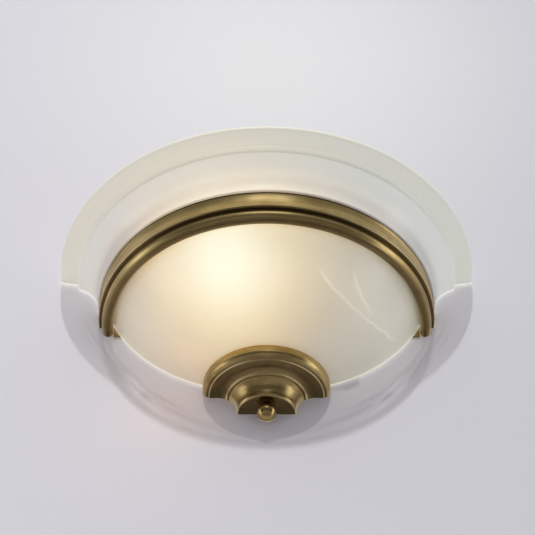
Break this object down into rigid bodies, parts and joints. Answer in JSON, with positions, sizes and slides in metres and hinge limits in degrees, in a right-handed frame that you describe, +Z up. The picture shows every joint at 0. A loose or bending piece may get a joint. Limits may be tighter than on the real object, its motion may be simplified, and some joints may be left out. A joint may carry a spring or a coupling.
{
  "type": "wall lamp",
  "caption": "Half-bowl uplighter wall lamp: flared alabaster-look glass shade in a brass half ring, with a stepped brass cap and a ball finial below.",
  "frame": {"origin": "midway between the two wall fixing slots, on the plate's wall face", "axes": "+Y into the wall, +Z up, +X to the right for a viewer who faces the lamp"},
  "size_m": [0.35, 0.175, 0.162],
  "materials": {
    "alabaster_glass": "satin, marbled opal",
    "antique_brass": "brushed, darkened",
    "zinc_steel": "zinc plated",
    "silicone": "matte",
    "black_rubber": "matte",
    "glazed_ceramic": "glazed",
    "nickel_shell": "bright",
    "contact_brass": "bright",
    "black_insulator": "gloss",
    "white_plastic": "satin",
    "frosted_plastic": "frosted",
    "aluminium_board": "matte white",
    "block_plastic": "satin",
    "brown_wire": "satin",
    "blue_wire": "satin",
    "green_wire": "satin, yellow stripe"
  },
  "bodies": {
    "fixture": {"wall_plate": "antique_brass", "ring_band": "antique_brass", "ring_screws": "zinc_steel", "glass_shade": "alabaster_glass", "glass_spacers": "silicone", "drop_arm": "zinc_steel", "drop_arm_rivets": "zinc_steel", "finial_stud": "zinc_steel", "stud_nuts": "zinc_steel", "clamp_washer": "zinc_steel", "clamp_pad": "silicone", "holder_bracket": "zinc_steel", "holder_rivets": "zinc_steel", "lampholder_body": "glazed_ceramic", "lampholder_shell": "nickel_shell", "lampholder_contact": "contact_brass", "lampholder_nipple": "contact_brass", "nipple_nut": "contact_brass", "terminal_block": "block_plastic", "terminal_screws": "contact_brass", "block_screw": "zinc_steel", "earth_tag": "contact_brass", "earth_screw": "contact_brass", "cable_grommet": "black_rubber", "live_lead": "brown_wire", "neutral_lead": "blue_wire", "earth_lead": "green_wire"},
    "bulb": {"bulb_cap": "nickel_shell", "bulb_insulator": "black_insulator", "bulb_contact": "contact_brass", "bulb_housing": "white_plastic", "bulb_dome": "frosted_plastic", "led_board": "aluminium_board"},
    "cap": {"bottom_cap": "antique_brass", "finial_washer": "antique_brass"},
    "knob": {"finial_ball": "antique_brass"}
  },
  "joints": [
    {"name": "bulb_turn", "type": "hinge", "parent": "fixture", "child": "bulb", "pos_m": [0.0126, -0.058, 0.007], "axis": [-1, 0, 0], "range_deg": [0, 1080]},
    {"name": "cap_lower", "type": "slide", "parent": "fixture", "child": "cap", "axis": [0, 0, 1], "range_m": [-0.005, 0]},
    {"name": "finial_turn", "type": "hinge", "parent": "cap", "child": "knob", "pos_m": [0, -0.012, -0.105], "axis": [0, 0, 1], "range_deg": [-1800, 0]}
  ],
  "couplings": [
    {"joint": "finial_turn", "follows": "cap_lower", "rad_per_m": 6283.2}
  ]
}
